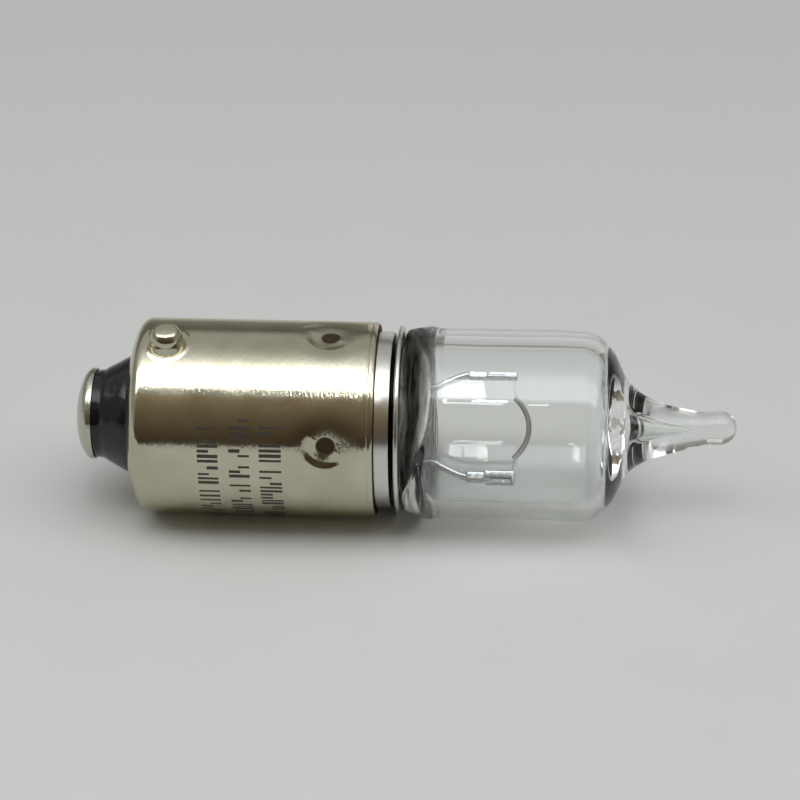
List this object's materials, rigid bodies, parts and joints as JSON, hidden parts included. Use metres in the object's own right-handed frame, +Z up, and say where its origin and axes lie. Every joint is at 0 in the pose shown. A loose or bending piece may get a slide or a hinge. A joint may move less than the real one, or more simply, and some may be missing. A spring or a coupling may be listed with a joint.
{
  "type": "halogen bayonet lamp",
  "caption": "Miniature halogen lamp with a clear tubular glass bulb, a drawn exhaust tip, an axial mount with a bowed coil, and a nickel-plated bayonet cap.",
  "frame": {"origin": "on the lamp axis, in the plane of the two bayonet pins", "axes": "+X along the lamp axis from the contact to the exhaust tip; +Z up as the lamp lies on its side, 13 degrees from the upper bayonet pin; +Y by the right-hand rule"},
  "size_m": [0.0311, 0.0092, 0.01],
  "materials": {
    "nickel_plated_brass": "nickel plated, satin",
    "black_insulating_glass": "glossy, opaque black",
    "tin_solder": "smooth solder",
    "stainless_steel": "pressed sheet, bright",
    "clear_glass": "clear, polished by flame",
    "molybdenum": "drawn wire and folded strip",
    "nickel_wire": "drawn wire",
    "tungsten": "coiled wire"
  },
  "bodies": {
    "root": {"cap_shell": "nickel_plated_brass", "bayonet_pin_upper": "nickel_plated_brass", "bayonet_pin_rear": "nickel_plated_brass", "insulator": "black_insulating_glass", "contact_plate": "nickel_plated_brass", "contact_solder": "tin_solder", "holder_sleeve": "stainless_steel", "holder_flange": "stainless_steel", "glass_envelope": "clear_glass", "lead_wire_upper": "molybdenum", "lead_wire_lower": "molybdenum", "filament_clamp_upper": "molybdenum", "filament_clamp_lower": "molybdenum", "outer_lead_contact": "nickel_wire", "outer_lead_shell": "nickel_wire", "filament": "tungsten"}
  },
  "joints": []
}
